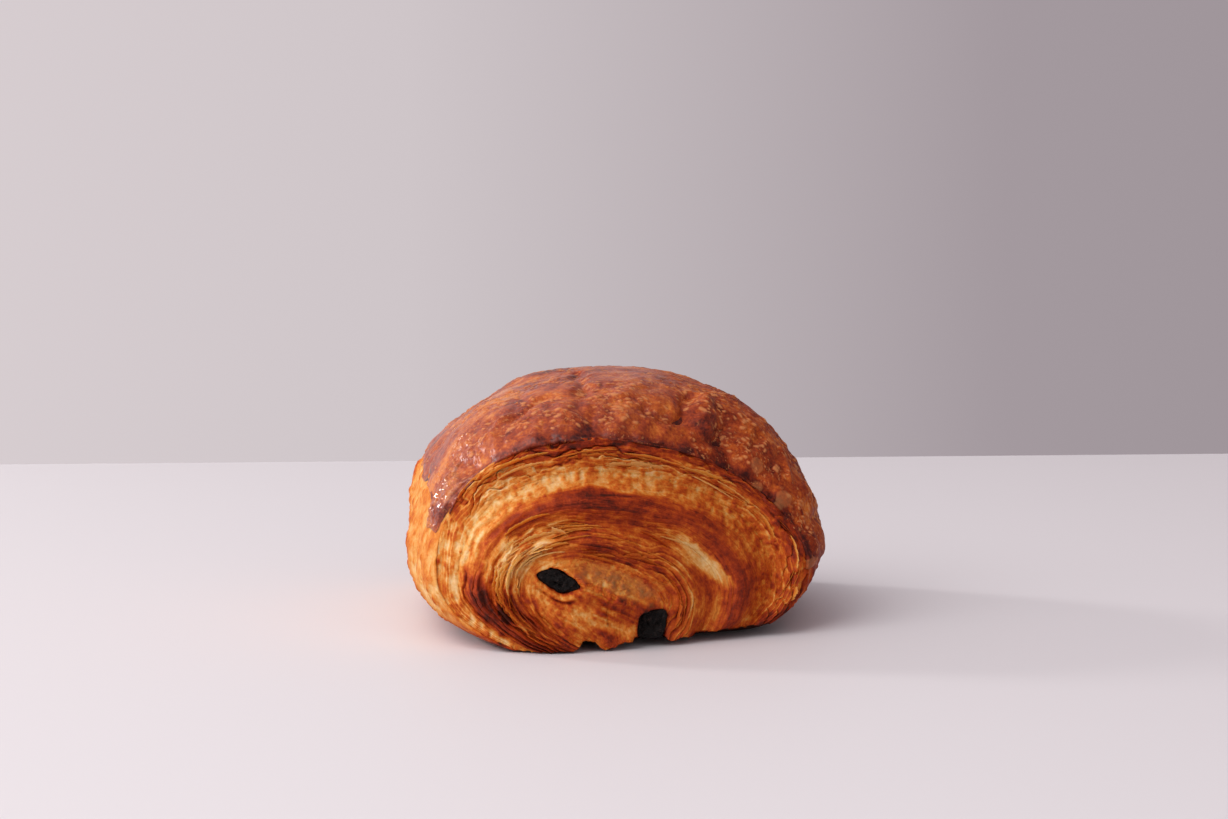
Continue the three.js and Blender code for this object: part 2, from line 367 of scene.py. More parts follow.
def foot_height(x, y):
    """How far the ragged foot of the front end is off the ground, fading out under the roll."""
    behind = y + LENGTH / 2 - skew(x, FRONT)
    gaps = sum(height * bump(x, at, wide) for at, wide, height in FOOT_GAPS)
    ragged = np.abs(noise(x / 1.9, 0, 9, 73)) + 0.4 * np.abs(noise(x / 0.7, 0, 9, 74))
    height = gaps + 0.5 * ragged * (1 + 0.6 * gaps) + FOOT.lift * smooth(FOOT.start, FOOT.whole, x)
    return np.maximum(0, height) * (1 - smooth(FOOT.near, FOOT.far, behind)) * smooth(*FOOT_LEFT, x)


def stand_on_ground(points):
    """Lift points to the ground and, at the front, to the ragged foot."""
    floor = np.maximum(0, foot_height(points[..., 0], points[..., 1]))
    points[..., 2] = np.maximum(points[..., 2], floor)


def turn_relief(share, angle, x, z):
    """How proud the turns of dough stand, dying out where their feet meet the base."""
    proud = 0.0
    for at, wide, height in TURNS:
        fade = smooth(6, 14, z) if at < 0.3 else 1.0
        proud = proud + fade * height * bump(share, at + 0.012 * np.sin(3 * angle + 9 * at), wide)
    lift = FOOT.lift * smooth(FOOT.start, FOOT.whole, x)
    return proud * smooth(lift - 0.5, lift + 2.5, z)


def sheet_stack(place, x, z, seed, size=8.0):
    """Sheets piled along a coordinate, one to a whole number, that come and go along their way.

    It gives each point's height in its sheet, taken as an edge or as a rope, and its nearness
    to the sheet's edge, to the crest along that edge and to its root.
    """
    number = np.floor(place)
    part = place - number
    strength = np.clip(0.65 + 1.0 * noise(x / size, z / size, number * 5.7, seed), 0.05, 1.6)
    ragged = 1 + 0.5 * rough_noise(x / 1.2, z / 1.2, number * 3.1, 2, seed + 1)
    shown = np.clip(strength, 0, 1)
    return SimpleNamespace(
        height=strength * ragged * (sheet_profile(part) - 0.45),
        rope=strength * (bump(part, 0.5, 0.26) - 0.4),
        edge=shown * smooth(0.5, 0.82, part) * (1 - smooth(0.9, 1.0, part)),
        crest=shown * smooth(0.72, 0.84, part) * (1 - smooth(0.88, 0.96, part)),
        root=shown * ((1 - smooth(0, 0.25, part)) + smooth(0.93, 1.0, part)))


END_SEEDS = {FRONT: 100, BACK: 200}

# Noise over an end: rows of strength, size in mm, level in the noise and number of the seed.
ZONE_WAVES = ((0.02, 10, 1, 12), (0.006, 2.5, 1, 13))
SHEET_WAVES = ((0.9, 12, 3, 0), (0.4, 4, 8, 0), (0.12, 1.3, 9, 0))
RIM_WAVES = ((0.1, 1.3, 9, 0), (0.9, 5, 11, 0))
RIBBON_WAVES = ((0.7, 9, 5, 20), (0.35, 3, 5, 21), (0.10, 0.9, 5, 22))
RUFFLE_WAVES = ((0.9, 9, 6, 25), (0.8, 3.6, 6, 26), (0.25, 1.2, 6, 27))
FINE_WAVES = ((1.3, 6, 2, 3),)

# Where the regions of an end begin and end, as shares of the arches.
HEART_REGION = (0.12, 0.22)
RIBBONS_FROM, RIBBONS_TO = (0.16, 0.24), (0.74, 0.86)
CRUST_FROM = (0.72, 0.84)
RUFFLES_FROM = (0.825, 0.87)
BUNDLE_TO = (0.72, 0.86)
# The bundle of browned edges at the lower left lies under a slanting line and left of an x.
BUNDLE = SimpleNamespace(z=8.5, x=-15, slope=0.5, soft=3, right=(-10.5, -13))


def waves(x, z, seed, rows):
    """The rows of a table of noise, added up."""
    return sum(
        strength * noise(x / size, z / size, level, seed + number)
        for strength, size, level, number in rows)


def under_bundle_line(x, z):
    """1 under the slanting line over the bundle, fading to 0 above it."""
    return 1 - smooth(-BUNDLE.soft, BUNDLE.soft, z - BUNDLE.z + BUNDLE.slope * (x - BUNDLE.x))


def arch_place(angle, share):
    """X and z of places on the arches, and the unit way outward across the arches there."""
    x, z = layer_outline(angle, share)
    ahead_x, ahead_z = layer_outline(angle, share + 0.01)
    return x, z, unit(np.stack([ahead_x - x, 0 * x, ahead_z - z], -1))


def end_regions(angle, share, x, z, seed):
    """How far each point lies in each region of its end, and the end's grains and strands."""
    across, upward = np.cos(angle), np.sin(angle)
    to_left, to_right = smooth(0.15, 0.8, -across), smooth(0.1, 0.85, across)
    topward = smooth(0.1, 0.6, upward) * (1 - to_right)
    zone = share + waves(x, z, seed, ZONE_WAVES) + 0.04 * to_right * bump(share, 0.6, 0.2)
    zone += 0.035 * topward * bump(share, 0.74, 0.17)
    crusty = to_left * smooth(*CRUST_FROM, zone) * (1 - smooth(0.38, 0.65, upward))
    ribboned = to_left * (1 - smooth(*RIBBONS_TO, zone)) * smooth(*RIBBONS_FROM, share)
    ruffled = smooth(*RUFFLES_FROM, zone) * (1 - crusty)
    lumps = rough_noise(x / 6.5, z / 6.5, 1, 2, seed + 6)
    bundle = under_bundle_line(x, z + 2 * lumps) * smooth(*BUNDLE.right, x)
    grain = mix(zone_value(zone, "grain"), 1, crusty)
    grains = mix(
        rough_noise(x, z, 4, 3, seed + 5), rough_noise(x, z / 1.8, 4, 3, seed + 16), crusty)
    crumbly = patch_value(x + 1.2 * grains, z + 1.2 * grains, CRUMB) * np.clip(0.75 + 0.9 * grains, 0, 1)
    strand_across, strand_along = 0.47 * x + 0.88 * z, 0.88 * x - 0.47 * z
    strands = noise(strand_across / 1.1, strand_along / 7, 0, seed + 17)
    strands += 0.6 * noise(strand_across / 0.5, strand_along / 4, 0, seed + 19)
    sheet_depth = zone_value(zone, "depth") * (1 - 0.7 * ribboned) * (1 - crusty) * (1 - 0.8 * ruffled)
    return SimpleNamespace(
        upward=upward, to_left=to_left, to_right=to_right, topward=topward, zone=zone,
        crusty=crusty, ribboned=ribboned, ruffled=ruffled, lumps=lumps, grain=grain,
        grains=grains, crumbly=crumbly, strands=strands * (1 - crumbly),
        bundle=bundle * (1 - smooth(*BUNDLE_TO, share)),
        heartward=1 - smooth(*HEART_REGION, share),
        cells=spots(np.stack([x, 0 * x, z], -1), 1.7, 0.8, 0.4, 0.95, seed + 15),
        sheet_depth=sheet_depth * (1 + 0.7 * to_right * (1 - smooth(0.4, 0.5, zone))),
        fineness=(1 - 0.8 * smooth(0.3, 1.1, grain)) * (1 - 0.5 * ribboned))


def end_stacks(share, x, z, seed):
    """The piles on an end: broad sheets, ribbons, fine sheets and ruffled edges."""
    rim_waves = smooth(0.8, 0.9, share) * waves(x, z, seed, RIM_WAVES)
    return (
        sheet_stack(SHEETS * share + waves(x, z, seed, SHEET_WAVES) + rim_waves, x, z, seed + 1),
        sheet_stack(RIBBONS * share + waves(x, z, seed, RIBBON_WAVES), x, z, seed + 23),
        sheet_stack(FINE_SHEETS * share + waves(x, z, seed, FINE_WAVES), x, z, seed + 4),
        sheet_stack(RUFFLES * share + waves(x, z, seed, RUFFLE_WAVES), x, z, seed + 28, 4.5))


def end_relief(share, angle, x, z, end, stacks):
    """How proud an end stands of its lean, and how far its edges curl outward."""
    sheets, ribbons, fine, ruffles = stacks
    proud = turn_relief(share, angle, x, z) * (1 - 0.7 * end.to_left) + 0.5 * end.lumps
    proud += SHEET_DEPTH * end.sheet_depth * sheets.height + FINE_DEPTH * end.fineness * fine.height
    rope = (0.15 + 0.3 * end.bundle) * ribbons.height + 0.5 * ribbons.rope
    rope *= 1 - 0.55 * smooth(0.48, 0.6, share) * (1 - end.bundle)
    proud += RIBBON_DEPTH * end.ribboned * rope
    proud += RUFFLE_DEPTH * end.ruffled * ruffles.height * (1 - 0.5 * end.to_right)
    proud += 0.35 * end.strands * end.heartward
    proud += end.grain * (0.5 * end.grains + 0.40 * np.sqrt(end.cells) - 0.15)
    proud += 0.1 * (1 - end.grain) * end.grains
    proud += 0.7 * smooth(0.93, 1.0, share) * smooth(-0.1, 0.25, end.upward)
    curl = 0.3 * end.sheet_depth * np.maximum(0, sheets.height)
    curl += 0.18 * end.ribboned * np.maximum(0, ribbons.height)
    curl += 0.5 * end.ruffled * np.maximum(0, ruffles.height)
    return proud, curl


def end_bake_and_painted_light(share, x, z, end, stacks, patches, seed):
    """How dark an end is, 0 to 1: its browning by zones and patches, and what each kind of mark adds,
    painted shade and painted highlights among them.

    The feet are the brownest, above all the bundle at the left, and the ridge is red-brown.
    Painted shade darkens the roots of the sheets and ruffles, the rim under the lip at the top,
    the holes round the sticks and the crack under the higher stick. Painted highlights, together
    with drier edges, make the edges and crests of the sheets, ribbons and ruffles paler.
    """
    sheets, ribbons, fine, ruffles = stacks
    streak = noise(x / 6, z / 6, share * 36, seed + 8)
    streak += 0.8 * noise(x / 2.2, z / 2.2, share * 85, seed + 9)
    streak *= 1 - end.heartward
    bake = mix(zone_value(end.zone, "top"), zone_value(end.zone, "left"), end.to_left)
    bake = mix(bake, zone_value(end.zone, "right"), end.to_right)
    calm = 1 - 0.5 * bump(end.zone, 0.645, 0.05)
    warp = 0.35 * end.grains
    for *patch, browning, strength in patches:
        at = patch_value(x + warp, z + warp, patch) * strength
        bake = mix(bake, browning, at)
        calm = calm * (1 - 0.5 * at)
    bake += calm * 0.15 * streak * (1 - 0.75 * smooth(0.4, 1.0, end.grain))
    bake += calm * 0.14 * rough_noise(x / 7, z / 7, 2.5, 2, seed + 10)
    # Sheet edges are paler, partly drier dough and partly a painted highlight; sheet roots are darkened
    # as painted shade in the grooves.
    pale_edge = sheets.edge * zone_value(end.zone, "pale") * (1 - end.ribboned)
    bake += 0.22 * sheets.root * end.sheet_depth - (0.26 + 0.1 * end.to_right) * pale_edge
    # Ribbon ropes and crests are paler, partly drier dough and partly a painted highlight on their tops.
    roped = end.ribboned * (1 - 0.6 * smooth(0.48, 0.6, share))
    bake -= roped * (0.04 + (0.30 - 0.12 * end.bundle) * ribbons.rope + 0.08 * ribbons.crest)
    # Ruffle roots are darkened as painted shade in their grooves; ruffle crests and edges are paler,
    # partly a painted highlight.
    bake += (0.16 - 0.12 * end.to_right) * end.ruffled * ruffles.root
    bake -= end.ruffled * ((0.34 - 0.2 * end.to_right) * ruffles.crest + 0.06 * ruffles.edge)
    # Painted shade: the ruffles just under the lip at the top are darkened.
    bake += end.ruffled * end.topward * (0.02 + 0.08 * smooth(0.93, 0.99, share))
    # The grain browns unevenly; the edges of the fine sheets are paler, partly a painted highlight.
    bake += (0.10 + 0.20 * end.grain) * end.grains - 0.10 * fine.edge * end.fineness
    bake += 0.22 * end.to_left * smooth(0.2, 0.6, end.upward) * bump(end.zone, 0.64, 0.07)
    bake += end.crusty * (0.10 * end.grains + 0.16 * smooth(0.1, 0.6, end.cells))
    low = 1 - smooth(0.5, 5.0, z + 2 * end.lumps)
    bake += 0.14 * low * smooth(0.16, 0.26, share) * (1 - end.crusty)
    bake += 0.30 * end.bundle * (1 + 0.3 * streak)
    bake += 0.20 * end.strands * end.heartward + 0.3 * end.crumbly * end.grains
    # The ridge is red-brown and its upper edge paler; the holes round the sticks are darkened as painted
    # shade.
    bake += 0.12 * end.ridge - 0.26 * end.ridge_edge + 0.30 * end.hole
    # The crack under the higher stick is darkened as painted shade; the flap of dough beside it is paler.
    bake += 0.5 * np.clip(end.cracked, 0, 1) - 0.22 * end.flap
    return np.clip(bake, 0, 1)


def end_surface(angle, share, side):
    """Points and marks of an end: layers set back by their lean, with their relief, and their browning
    with painted shade and highlights.
    """
    seed = END_SEEDS[side]
    x, z, outward = arch_place(angle, share)
    end = end_regions(angle, share, x, z, seed)
    stacks = end_stacks(share, x, z, seed)
    proud, curl = end_relief(share, angle, x, z, end, stacks)
    plane = LENGTH / 2 - layer_lean(angle, share, side)

    end.ridge = end.ridge_edge = crumb = 0 * x
    if side == FRONT:
        end.ridge = ridge_bump(x, z, RIDGE.wide)
        edge = ridge_bump(x - 0.5, z - RIDGE_EDGE.up + 0.4 * end.lumps, RIDGE_EDGE.wide)
        end.ridge_edge = edge * (1 + 0.5 * end.grains)
        proud += RIDGE.proud * end.ridge * (1 + 0.3 * end.grains)
        crumb = np.maximum(end.crumbly, 0.3 * patch_value(x, z, STREAK)) * (1 - end.ridge)
    seen_z = np.maximum(z, foot_height(x, side * plane))
    end.hole = end.cracked = end.flap = 0.0
    for stick in STICKS:
        gap = stick_distance(stick, x, seen_z) + 0.12 * noise(x / 0.8, z / 0.8, 6, seed + 7)
        under = smooth(-0.5, -2.5, z - stick.z) * smooth(*CRACK.left, x) * smooth(*CRACK.right, x)
        under = under * (stick.z > CRACK.above)
        crack = bump(gap, CRACK.away, CRACK.wide) * under
        crumbled = 0.6 + 0.6 * noise(x / 1.5, z / 1.5, 6, seed + 18)
        end.cracked = end.cracked + crack * crumbled
        end.flap = end.flap + bump(gap, FLAP.away, FLAP.wide) * under
        proud = proud + 0.25 * bump(gap, 1.1, 0.8) - CRACK.deep * crack
        proud = mix(proud, -STICK_HOLE_DEPTH, 1 - smooth(-0.4, 0.1, gap))
        end.hole = np.maximum(end.hole, 1 - smooth(-0.3, 0.5, gap))

    points = np.stack([x, side * (plane + proud), z], -1) + outward * curl[..., None]
    stand_on_ground(points)
    patches = PATCHES if side == FRONT else ()
    bake = end_bake_and_painted_light(share, x, z, end, stacks, patches, seed)
    return points, {"bake": bake, "crumb": crumb}


# Meshes.

def face_table(rings, places, closed):
    """Corner numbers of a grid's quads, wrapping round each ring and, if closed, ring to ring."""
    ring = np.arange(rings if closed else rings - 1)[:, None]
    place = np.arange(places)[None, :]
    after = (ring + 1) % rings
    beside = (place + 1) % places
    corners = np.broadcast_arrays(
        ring * places + place, ring * places + beside, after * places + beside, after * places + place)
    return np.stack(corners, -1).reshape(-1, 4)


def pole_table(rings, places):
    """Corner numbers of the fans that close an open grid, its two poles after its last point."""
    around = np.arange(places)
    beside = (around + 1) % places
    pole = rings * places
    end = pole - places
    return np.concatenate([
        np.stack([np.full(places, pole), beside, around], -1),
        np.stack([np.full(places, pole + 1), end + around, end + beside], -1)])


def signed_volume(points, quads):
    a, b, c, d = (points[quads[:, i]] for i in range(4))
    return np.einsum("ij,ij->", a, np.cross(b, c)) + np.einsum("ij,ij->", a, np.cross(c, d))


def make_piece(name, points, quads, triangles, marks, material):
    """A mesh object at the origin from corner tables, with one float attribute for each mark."""
    if signed_volume(points, quads) < 0:
        quads, triangles = quads[:, ::-1], triangles[:, ::-1]
    place = (points + [SHIFT_X, SHIFT_Y, 0]) * MM
    corners = np.concatenate([quads.ravel(), triangles.ravel()])
    starts = np.concatenate([
        np.arange(len(quads)) * 4,
        quads.size + np.arange(len(triangles)) * 3])
    mesh = bpy.data.meshes.new(name)
    mesh.vertices.add(len(place))
    mesh.vertices.foreach_set("co", place.astype(np.float32).ravel())
    mesh.loops.add(len(corners))
    mesh.loops.foreach_set("vertex_index", corners.astype(np.int32))
    mesh.polygons.add(len(starts))
    mesh.polygons.foreach_set("loop_start", starts.astype(np.int32))
    mesh.polygons.foreach_set("use_smooth", np.ones(len(starts), bool))
    mesh.update(calc_edges=True)
    for mark, values in marks.items():
        attribute = mesh.attributes.new(mark, "FLOAT", "POINT")
        attribute.data.foreach_set("value", values.astype(np.float32).ravel())
    mesh.materials.append(material)
    piece = bpy.data.objects.new(name, mesh)
    bpy.context.scene.collection.objects.link(piece)
    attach(piece, "root")
    return piece


def ring_solid(name, points, marks, material, closed=False):
    """A piece over closed rings of points, joined last to first or closed by a pole at each end."""
    rings, places = points.shape[:2]
    quads = face_table(rings, places, closed)
    flat = points.reshape(-1, 3)
    marks = {mark: values.reshape(-1) for mark, values in marks.items()}
    triangles = np.zeros((0, 3), int)
    if not closed:
        triangles = pole_table(rings, places)
        flat = np.concatenate([flat, points[0].mean(0)[None], points[-1].mean(0)[None]])
        marks = {mark: np.concatenate([v, [v[:places].mean(), v[-places:].mean()]])
                 for mark, v in marks.items()}
    return make_piece(name, flat, quads, triangles, marks, material)


# Materials.

def fill_sockets(tree, made, values):
    """Set a node's input sockets, by name or number, to values or to other nodes' outputs."""
    for socket, value in values.items():
        if isinstance(value, bpy.types.NodeSocket):
            tree.links.new(value, made.inputs[socket])
        else:
            made.inputs[socket].default_value = value


def add_node(tree, kind, values=None, **settings):
    made = tree.nodes.new(kind)
    for key, value in settings.items():
        setattr(made, key, value)
    fill_sockets(tree, made, values or {})
    return made


def calculate(tree, operation, a, b, clamp=False):
    return add_node(tree, "ShaderNodeMath", {0: a, 1: b}, operation=operation, use_clamp=clamp).outputs[0]


def plus(tree, a, b, clamp=False):
    return calculate(tree, "ADD", a, b, clamp)


def minus(tree, a, b):
    return calculate(tree, "SUBTRACT", a, b)


def times(tree, a, b):
    return calculate(tree, "MULTIPLY", a, b)


def above(tree, value, low, high):
    """0 up to low, 1 from high on, and a smooth step between them."""
    step = add_node(
        tree, "ShaderNodeMapRange", {0: value, 1: low, 2: high}, interpolation_type="SMOOTHSTEP")
    return step.outputs[0]


def own_place(tree):
    return add_node(tree, "ShaderNodeTexCoord").outputs["Object"]


def mark_value(tree, mark):
    """A mark of the piece, such as its browning with painted shade and highlights, at the point that is
    looked at.
    """
    return add_node(tree, "ShaderNodeAttribute", attribute_name=mark).outputs["Fac"]


def ramp_node(tree, factor, stops):
    """A colour ramp with the given places and colours."""
    ramp = add_node(tree, "ShaderNodeValToRGB", {"Fac": factor})
    elements = ramp.color_ramp.elements
    while len(elements) < len(stops):
        elements.new(0.5)
    for element, (place, colour) in zip(elements, stops):
        element.position = place
        element.color = (*colour, 1)
    return ramp.outputs["Color"]


def blend_colour(tree, factor, first, second):
    """One colour blended into a second by a factor."""
    blended = add_node(
        tree, "ShaderNodeMix", {"Factor": factor, "A": first, "B": second}, data_type="RGBA")
    return blended.outputs["Result"]


def noise_node(tree, place, scale, detail=2.0, roughness=0.5, distortion=0.0):
    made = add_node(tree, "ShaderNodeTexNoise", {
        "Vector": place, "Scale": scale, "Detail": detail, "Roughness": roughness,
        "Distortion": distortion})
    return made.outputs["Fac"]


def bump_normal(tree, height, strength, distance=0.0004):
    """The surface's normal, tilted as if the height, times a distance in metres, stood on it."""
    made = add_node(tree, "ShaderNodeBump", {
        "Height": height, "Strength": strength, "Distance": distance})
    return made.outputs["Normal"]


def new_material(name):
    material = bpy.data.materials.new(name)
    material.use_nodes = True
    return material, material.node_tree, material.node_tree.nodes["Principled BSDF"]


BAKE_COLOURS = (
    (0.0, (0.80, 0.54, 0.26)),
    (0.18, (0.72, 0.37, 0.11)),
    (0.34, (0.65, 0.215, 0.030)),
    (0.50, (0.50, 0.095, 0.009)),
    (0.66, (0.35, 0.042, 0.006)),
    (0.82, (0.20, 0.019, 0.005)),
    (1.0, (0.05, 0.009, 0.005)),
)
CRUMB_COLOUR = (0.42, 0.22, 0.065, 1)
CRUMB_SHARE = 0.5
GLAZE_COLOURS = (
    (0.0, (0.62, 0.19, 0.035)),
    (0.25, (0.47, 0.098, 0.016)),
    (0.5, (0.31, 0.045, 0.011)),
    (0.75, (0.18, 0.023, 0.009)),
    (1.0, (0.055, 0.010, 0.008)),
)
FLECK_COLOUR = (0.60, 0.22, 0.075, 1)
# Chocolate from near black to grey-brown; the palest stop is partly a painted highlight, small specks of
# sheen on the grain's peaks.
CHOCOLATE_AND_HIGHLIGHT_COLOURS = (
    (0.40, (0.002, 0.0008, 0.0006)),
    (0.58, (0.006, 0.003, 0.0025)),
    (0.70, (0.06, 0.038, 0.034)),
)


def baked_dough_group():
    """Browning, with painted shade and highlights where an end has them, to colour: the value, unsettled
    by fine noise, read off the baking ramp.
    """
    group = bpy.data.node_groups.new("baked_dough", "ShaderNodeTree")
    for label in ("Bake", "Speckle"):
        group.interface.new_socket(label, in_out="INPUT", socket_type="NodeSocketFloat")
    for label, kind in (("Color", "Color"), ("Roughness", "Float"), ("Height", "Float")):
        group.interface.new_socket(label, in_out="OUTPUT", socket_type="NodeSocket" + kind)
    source = group.nodes.new("NodeGroupInput").outputs
    place = own_place(group)
    fine = noise_node(group, place, 1800, 3, 0.6)
    coarse = noise_node(group, place, 420, 3, 0.6)
    both = plus(group, minus(group, fine, 0.5), minus(group, coarse, 0.5))
    shade = plus(group, source["Bake"], times(group, both, source["Speckle"]), clamp=True)
    fill_sockets(group, group.nodes.new("NodeGroupOutput"), {
        "Color": ramp_node(group, shade, BAKE_COLOURS),
        "Roughness": minus(group, 0.72, times(group, source["Bake"], 0.22)),
        "Height": plus(group, times(group, fine, 0.4), coarse)})
    return group


def dough_material(name, group, speckle):
    """Baked layers: colour by each point's browning and the painted shade and highlights it carries, soft
    light in the dough, fine grain.
    """
    material, tree, shader = new_material(name)
    sockets = {"Bake": mark_value(tree, "bake"), "Speckle": speckle}
    dough = add_node(tree, "ShaderNodeGroup", sockets, node_tree=group).outputs
    crumb = times(tree, mark_value(tree, "crumb"), CRUMB_SHARE)
    fill_sockets(tree, shader, {
        "Base Color": blend_colour(tree, crumb, dough["Color"], CRUMB_COLOUR),
        "Roughness": dough["Roughness"],
        "Normal": bump_normal(tree, dough["Height"], 0.7),
        "Subsurface Weight": 0.15,
        "Subsurface Radius": (0.0016, 0.0006, 0.0002),
        "Subsurface Scale": 1.0,
        "Specular IOR Level": 0.12})
    return material


def glaze_material():
    """Egg glaze: mahogany by browning, clustered pale flecks, and a coat that shines by its gloss."""
    material, tree, shader = new_material("egg_glaze")
    place = own_place(tree)
    gloss = mark_value(tree, "gloss")
    fine = noise_node(tree, place, 1500, 3, 0.65)
    coarse = noise_node(tree, place, 300, 4, 0.6, 0.6)
    patches = noise_node(tree, place, 110, 3, 0.55, 0.8)
    uneven = plus(tree, minus(tree, fine, 0.5), minus(tree, coarse, 0.5))
    uneven = plus(tree, uneven, times(tree, minus(tree, patches, 0.5), 0.8))
    shade = plus(tree, mark_value(tree, "bake"), uneven, clamp=True)
    specks = above(tree, noise_node(tree, place, 1150, 2, 0.5, 0.4), 0.57, 0.66)
    cluster = above(tree, noise_node(tree, place, 170, 2, 0.5), 0.44, 0.58)
    fleck = times(tree, specks, cluster)
    pale = calculate(tree, "MAXIMUM", mark_value(tree, "blister"), times(tree, fleck, 0.75))
    beads = noise_node(tree, place, 800, 2, 0.6, 0.8)
    beads = times(tree, beads, above(tree, gloss, 0.7, 0.95))
    height = plus(tree, times(tree, fine, 0.3), coarse)
    height = plus(tree, height, times(tree, fleck, 0.3))
    height = plus(tree, height, times(tree, beads, 8.0))
    fill_sockets(tree, shader, {
        "Base Color": blend_colour(tree, pale, ramp_node(tree, shade, GLAZE_COLOURS), FLECK_COLOUR),
        "Roughness": plus(tree, 0.36, times(tree, coarse, 0.25)),
        "Coat Weight": gloss,
        "Coat Roughness": minus(tree, 0.46, times(tree, gloss, 0.40)),
        "Normal": bump_normal(tree, height, 0.5),
        "Subsurface Weight": 0.04,
        "Subsurface Radius": (0.001, 0.0003, 0.0001),
        "Subsurface Scale": 1.0,
        "Specular IOR Level": 0.08})
    return material


def chocolate_material():
    """Baked chocolate: near black with grey-brown grains, their palest specks partly painted highlights,
    and small dull pits.
    """
    material, tree, shader = new_material("baked_chocolate")
    grain = noise_node(tree, own_place(tree), 1100, 4, 0.7)
    fill_sockets(tree, shader, {
        "Base Color": ramp_node(tree, grain, CHOCOLATE_AND_HIGHLIGHT_COLOURS),
        "Roughness": plus(tree, 0.38, times(tree, grain, 0.4)),
        "Normal": bump_normal(tree, grain, 1.0, 0.0009),
        "Specular IOR Level": 0.22})
    return material


dough_colours = baked_dough_group()
layers_material = dough_material("baked_layers", dough_colours, 0.36)
crust_material = dough_material("plain_crust", dough_colours, 0.3)
flake_material = dough_material("crisp_flake", dough_colours, 0.15)
glaze = glaze_material()
chocolate = chocolate_material()


# Pieces.

END_RINGS = (0.03, 0.1, 0.35, 0.65, 0.9, 0.97)
HIDDEN_GAP = 0.015
HEART_SHARE = 0.02
# Rings between the heart and the first share, at the front and at the back.
INMOST_RINGS = {FRONT: 21, BACK: 12}


def hidden_wall(start, end, scale):
    """Rings that run from one end to the other, drawn in or out a little about the heart."""
    rings = np.stack([mix(start, end, share) for share in END_RINGS])
    rings[..., 0] = HEART.x + (rings[..., 0] - HEART.x) * scale
    rings[..., 2] = np.maximum(0.15, HEART.z + (rings[..., 2] - HEART.z) * scale)
    return rings


def turn_of_dough(name, low, high, places, front_rings, back_rings):
    """A tube of dough layers: a front end, a hidden outer wall, a back end and an inner wall."""
    angle = np.arange(places) / places * TAU
    ends, marks = [], []
    for side, rings in ((FRONT, front_rings), (BACK, back_rings)):
        share = np.linspace(low, high, rings)
        if low == HEART_SHARE:
            inmost = INMOST_RINGS[side] + 1
            share = np.concatenate([low * (np.arange(1, inmost) / inmost) ** 5, share])
        grid_share, grid_angle = np.meshgrid(share[::-side], angle, indexing="ij")
        points, mark = end_surface(grid_angle, grid_share, side)
        ends.append(points)
        marks.append(mark)
    front, back = ends
    parts = [front, hidden_wall(front[-1], back[0], 1 - HIDDEN_GAP), back]
    closed = low > HEART_SHARE
    if closed:
        parts.append(hidden_wall(back[-1], front[0], 1 + HIDDEN_GAP))
    full = {}
    for mark, front_mark in marks[0].items():
        wall = (len(END_RINGS), 1)
        values = [front_mark, np.tile(front_mark[-1], wall), marks[1][mark]]
        if closed:
            values.append(np.tile(front_mark[0], wall))
        full[mark] = np.concatenate(values)
    return ring_solid(name, np.concatenate(parts), full, layers_material, closed)


# Folds of the skin: angle in degrees and share of the length at both ends, half width, height.
FOLDS = (
    (64.4, 0.24, 61.0, 0.07, 2.3, 1.4),
    (69.5, 0.23, 67.5, 0.08, 1.6, -1.2),
    (55.0, 0.05, 55.5, 0.15, 1.5, -0.9),
    (45.0, 0.08, 45.5, 0.18, 1.3, -0.8),
    (99.0, 0.47, 97.0, 0.19, 1.2, -1.0),
    (79.0, 0.10, 70.0, 0.07, 1.2, -0.9),
    (118.0, 0.12, 108.0, 0.20, 1.6, -0.8),
    (88.0, 0.16, 83.0, 0.30, 1.8, 0.9),
    (128.0, 0.06, 121.0, 0.14, 1.4, 0.7),
    (36.0, 0.20, 30.0, 0.10, 1.6, 0.8),
)
FOLD_RADIUS = 40.0
FOLD_WAVER = 0.9


def fold_relief(angle, along, seed=320):
    """Height of the folds: a bump across each one's line, fading out at its ends."""
    u = FOLD_RADIUS * angle + FOLD_WAVER * noise(angle * 12, along * 30, 0, seed)
    v = LENGTH * along + FOLD_WAVER * noise(angle * 12, along * 30, 5, seed)
    total = 0.0
    for start_angle, start, end_angle, end, wide, height in FOLDS:
        u0, v0 = FOLD_RADIUS * np.radians(start_angle), LENGTH * start
        du, dv = FOLD_RADIUS * np.radians(end_angle) - u0, LENGTH * end - v0
        t = np.clip(((u - u0) * du + (v - v0) * dv) / (du * du + dv * dv), 0, 1)
        total = total + height * bump(np.hypot(u - u0 - t * du, v - v0 - t * dv), 0, wide)
    return total


def crust_relief(points, seed=300):
    """Height of the crust's billows, wrinkles and, at the right front, dents."""
    lumps = noise_at(points, (17, 19, 17), seed) + 0.5 * noise_at(points, (8, 9, 8), seed + 1)
    billows = np.abs(noise_at(points, (15, 17, 15), seed + 2))
    billows += 0.3 * np.abs(noise_at(points, (6, 7, 6), seed + 4))
    small = np.abs(noise_at(points, (2.6, 3.6, 2.6), seed + 3))
    x, y, z = np.moveaxis(points, -1, 0)
    dented = smooth(5, 25, x) * smooth(10, -25, y)
    dents = np.abs(noise_at(points, (9, 12, 9), seed + 5)) - 0.35
    height = 0.5 * lumps + 1.6 * billows + 0.2 * small + 1.6 * dented * dents - 0.8
    return height * (0.2 + 0.8 * smooth(8, 24, z))


LIP_STEPS = (0.12, 0.3, 0.5, 0.7, 0.88)
LIP_SHARE = 0.975
LIP_TUCK = 0.7
LIP_BULGE = 0.9


def rounded_lip(start, end, bulge):
    """Columns of points from one edge to another that bulge along the roll."""
    return np.stack([
        mix(start, end, t) + [0, bulge * np.sin(np.pi * t), 0] for t in LIP_STEPS], 1)


